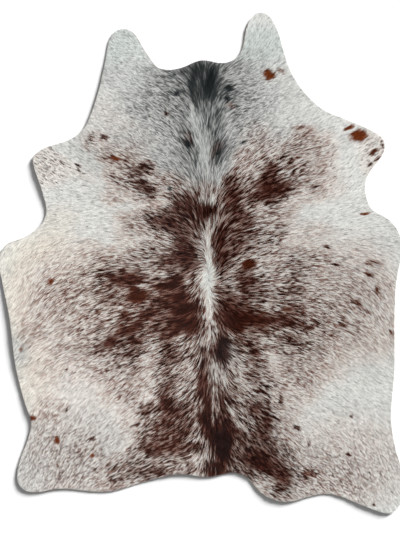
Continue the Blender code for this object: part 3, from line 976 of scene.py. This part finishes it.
# %% Placing the locks
def corners_of(some):
    """The corners of each of these locks, rolled, leant and turned into place."""
    body = lock_corners[None] * np.stack(
        [length[some], np.full(len(some), LOCK_WIDTH), np.full(len(some), LOCK_RIDGE)], axis=1)[:, None]
    x, y, z = body[..., 0], body[..., 1], body[..., 2]
    y, z = turned(y, z, roll[some][:, None])
    x, z = turned(x, z, lean[some][:, None])
    ahead, aside = way[some][:, None], np.column_stack([-way[some][:, 1], way[some][:, 0]])[:, None]
    flat = roots[some][:, None] + ahead * x[..., None] + aside * y[..., None]
    return np.concatenate([flat, (base_height[some][:, None] + z)[..., None]], axis=2)


print("highest hair", round(float(corners_of(np.arange(len(roots)))[..., 2].max() / MM), 1), "mm")

# %% [markdown]
# A lock's colour goes into the mesh, where the material finds it. Every lock has a cell of its own in the
# piece's map, so that in a baked picture no two share a pixel.

# %% Paint and map
UV_CELLS = 256     # cells a side of a piece's own map
UV_FILL = 0.5


def paint(mesh, name, *columns):
    """A colour for each corner of the mesh, from a column of numbers for red, green and blue."""
    values = np.column_stack(columns + (np.ones(len(columns[0])),))
    mesh.color_attributes.new(name, "FLOAT_COLOR", "POINT").data.foreach_set("color", values.ravel())


def lock_map(count):
    """The place of each corner of each lock in the piece's map."""
    cell = np.arange(count)
    middle = np.column_stack([cell % UV_CELLS, cell // UV_CELLS])[:, None] + 0.5
    spread = (lock_corners[:, :2] - (0.5, 0)) * (UV_FILL, UV_FILL)
    return ((middle + spread[None]) / UV_CELLS).reshape(-1, 2)


print("room for", UV_CELLS ** 2, "locks in a piece")

# %% [markdown]
# A piece is one mesh of the locks of a stretch of the hide. Joining so many objects would take too long,
# so their corners are written in one go. A lock's colour carries painted shade: darker at its root, deep in
# the coat.

# %% One piece of hair
# painted shade along a lock, from its root to its tip
ROOT_SHADE, TIP_SHADE = 0.62, 1.0
HAIRS_ACROSS, WAVES_ALONG = 9, 1.5     # how fine the streaks of a lock are
STREAK_SPREAD = 900


def hair_piece(name, some):
    """One mesh of all these locks, with their pigment, warm and cool tints, painted shade and map."""
    count, corners = len(some), len(lock_corners)
    places = corners_of(some).reshape(-1, 3)
    ends = (np.arange(count)[:, None, None] * corners + lock_faces[None]).reshape(-1)
    mesh = bpy.data.meshes.new(name)
    mesh.vertices.add(len(places))
    mesh.vertices.foreach_set("co", places.ravel())
    mesh.loops.add(len(ends))
    mesh.loops.foreach_set("vertex_index", ends)
    mesh.polygons.add(len(ends) // 3)
    mesh.polygons.foreach_set("loop_start", np.arange(0, len(ends), 3))
    mesh.polygons.foreach_set("use_smooth", np.ones(len(ends) // 3, bool))
    mesh.update(calc_edges=True)

    along_lock = np.tile(lock_corners[:, 0], count)
    each = np.repeat(some, corners)
    paint(mesh, "pigment", darkness[each], charcoal_hue[each], rust_hue[each])
    # painted shade: darker towards the root
    depth = ROOT_SHADE + (TIP_SHADE - ROOT_SHADE) * along_lock
    # the third column is painted shade: darker at the root, in hollows and in dark hair
    paint(mesh, "cast_and_shade", warm[each], cool[each], depth * shade[each])
    across = np.tile(lock_corners[:, 1] * HAIRS_ACROSS, count)
    own_streaks = np.repeat(rng.uniform(0, STREAK_SPREAD, count), corners)
    paint(mesh, "strand", across, along_lock * WAVES_ALONG, own_streaks)

    mesh.uv_layers.new(name="OFBake").data.foreach_set("uv", lock_map(count)[ends].ravel())
    mesh.materials.append(hair)
    piece = bpy.data.objects.new(name, mesh)
    bpy.context.scene.collection.objects.link(piece)
    return piece


print("root shade", ROOT_SHADE, "tip shade", TIP_SHADE)

# %% [markdown]
# The coat becomes eight pieces, from the cheeks to the shanks, so that each stays light.

# %% The eight pieces
SECTIONS = [     # (name, from, to) along the backbone, in centimetres
    ("hair_cheeks", 66, 120), ("hair_shoulders", 42, 66), ("hair_withers", 20, 42), ("hair_ribs", -4, 20),
    ("hair_loin", -27, -4), ("hair_hips", -50, -27), ("hair_rump", -74, -50), ("hair_shanks", -120, -74),
]

hair_pieces = []
for name, low, high in SECTIONS:
    some = np.flatnonzero((roots[:, 1] >= low * CM) & (roots[:, 1] < high * CM))
    hair_pieces.append(hair_piece(name, some))
    print(name, len(some), "locks")
print("hair triangles", sum(len(piece.data.polygons) for piece in hair_pieces))

# %% [markdown]
# ## Skin materials
#
# Chrome-tanned cowhide: under the hair the skin is a dull pink-beige, the trimmed edge shows the pale
# core of the leather, and the underside is split suede, which is napped and quite matt.

# %% Skin materials
FINISHES = {     # darker and lighter tone, roughness, size of the mottle in metres
    "tanned_hair_side": ("83746B", "9A8C83", 0.7, 0.02),
    "cut_leather_edge": ("A8937D", "C4B39F", 0.8, 0.004),
    "split_suede_underside": ("A3968A", "C4B8AB", 0.95, 0.07),
}
NAP, NAP_DEPTH = 2.4 * MM, 0.4 * MM     # width and depth of the grain or nap

for name, (dark, light, roughness, mottle_size) in FINISHES.items():
    finish, finish_shader = new_material(name, Roughness=roughness, IOR=1.5)
    place = add(finish, "ShaderNodeTexCoord").outputs["Object"]
    nap = add(finish, "ShaderNodeTexNoise", {"Vector": place, "Scale": 1 / NAP, "Detail": 5.0})
    mottle = add(finish, "ShaderNodeTexNoise", {"Vector": place, "Scale": 1 / mottle_size, "Detail": 3.0})
    mottled = add(finish, "ShaderNodeValToRGB", {"Fac": mottle.outputs["Fac"]}, [(0.3, dark), (0.7, light)])
    napped = add(
        finish, "ShaderNodeValToRGB", {"Fac": nap.outputs["Fac"]}, [(0.3, "D8D4D0"), (0.7, "FFFFFF")])
    both = add(
        finish, "ShaderNodeMix", {0: 1.0, 6: mottled.outputs["Color"], 7: napped.outputs["Color"]},
        data_type="RGBA", blend_type="MULTIPLY")
    fuzz = add(
        finish, "ShaderNodeBump", {"Height": nap.outputs["Fac"], "Strength": 0.5, "Distance": NAP_DEPTH})
    finish.node_tree.links.new(both.outputs[2], finish_shader.inputs["Base Color"])
    finish.node_tree.links.new(fuzz.outputs["Normal"], finish_shader.inputs["Normal"])

skin.data.materials.clear()
for name in FINISHES:
    skin.data.materials.append(bpy.data.materials[name])
for face in skin.data.polygons:
    face.material_index = 0 if face.normal.z > FLAT else 2 if face.normal.z < -FLAT else 1
print("skin faces by finish", np.bincount([face.material_index for face in skin.data.polygons]).tolist())

# %% [markdown]
# ## Declaring the pieces
#
# The rug is one sheet laid flat, skin and hair together, and takes the solid's place. Its flat area is
# that of the cut outline, which is much less than the rectangle round it.

# %% Declarations
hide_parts("hide")
for piece in [skin] + hair_pieces:
    lit_by["hair light"].objects.link(piece)
    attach(piece, "root")
print("declared", 1 + len(hair_pieces), "pieces of one sheet")
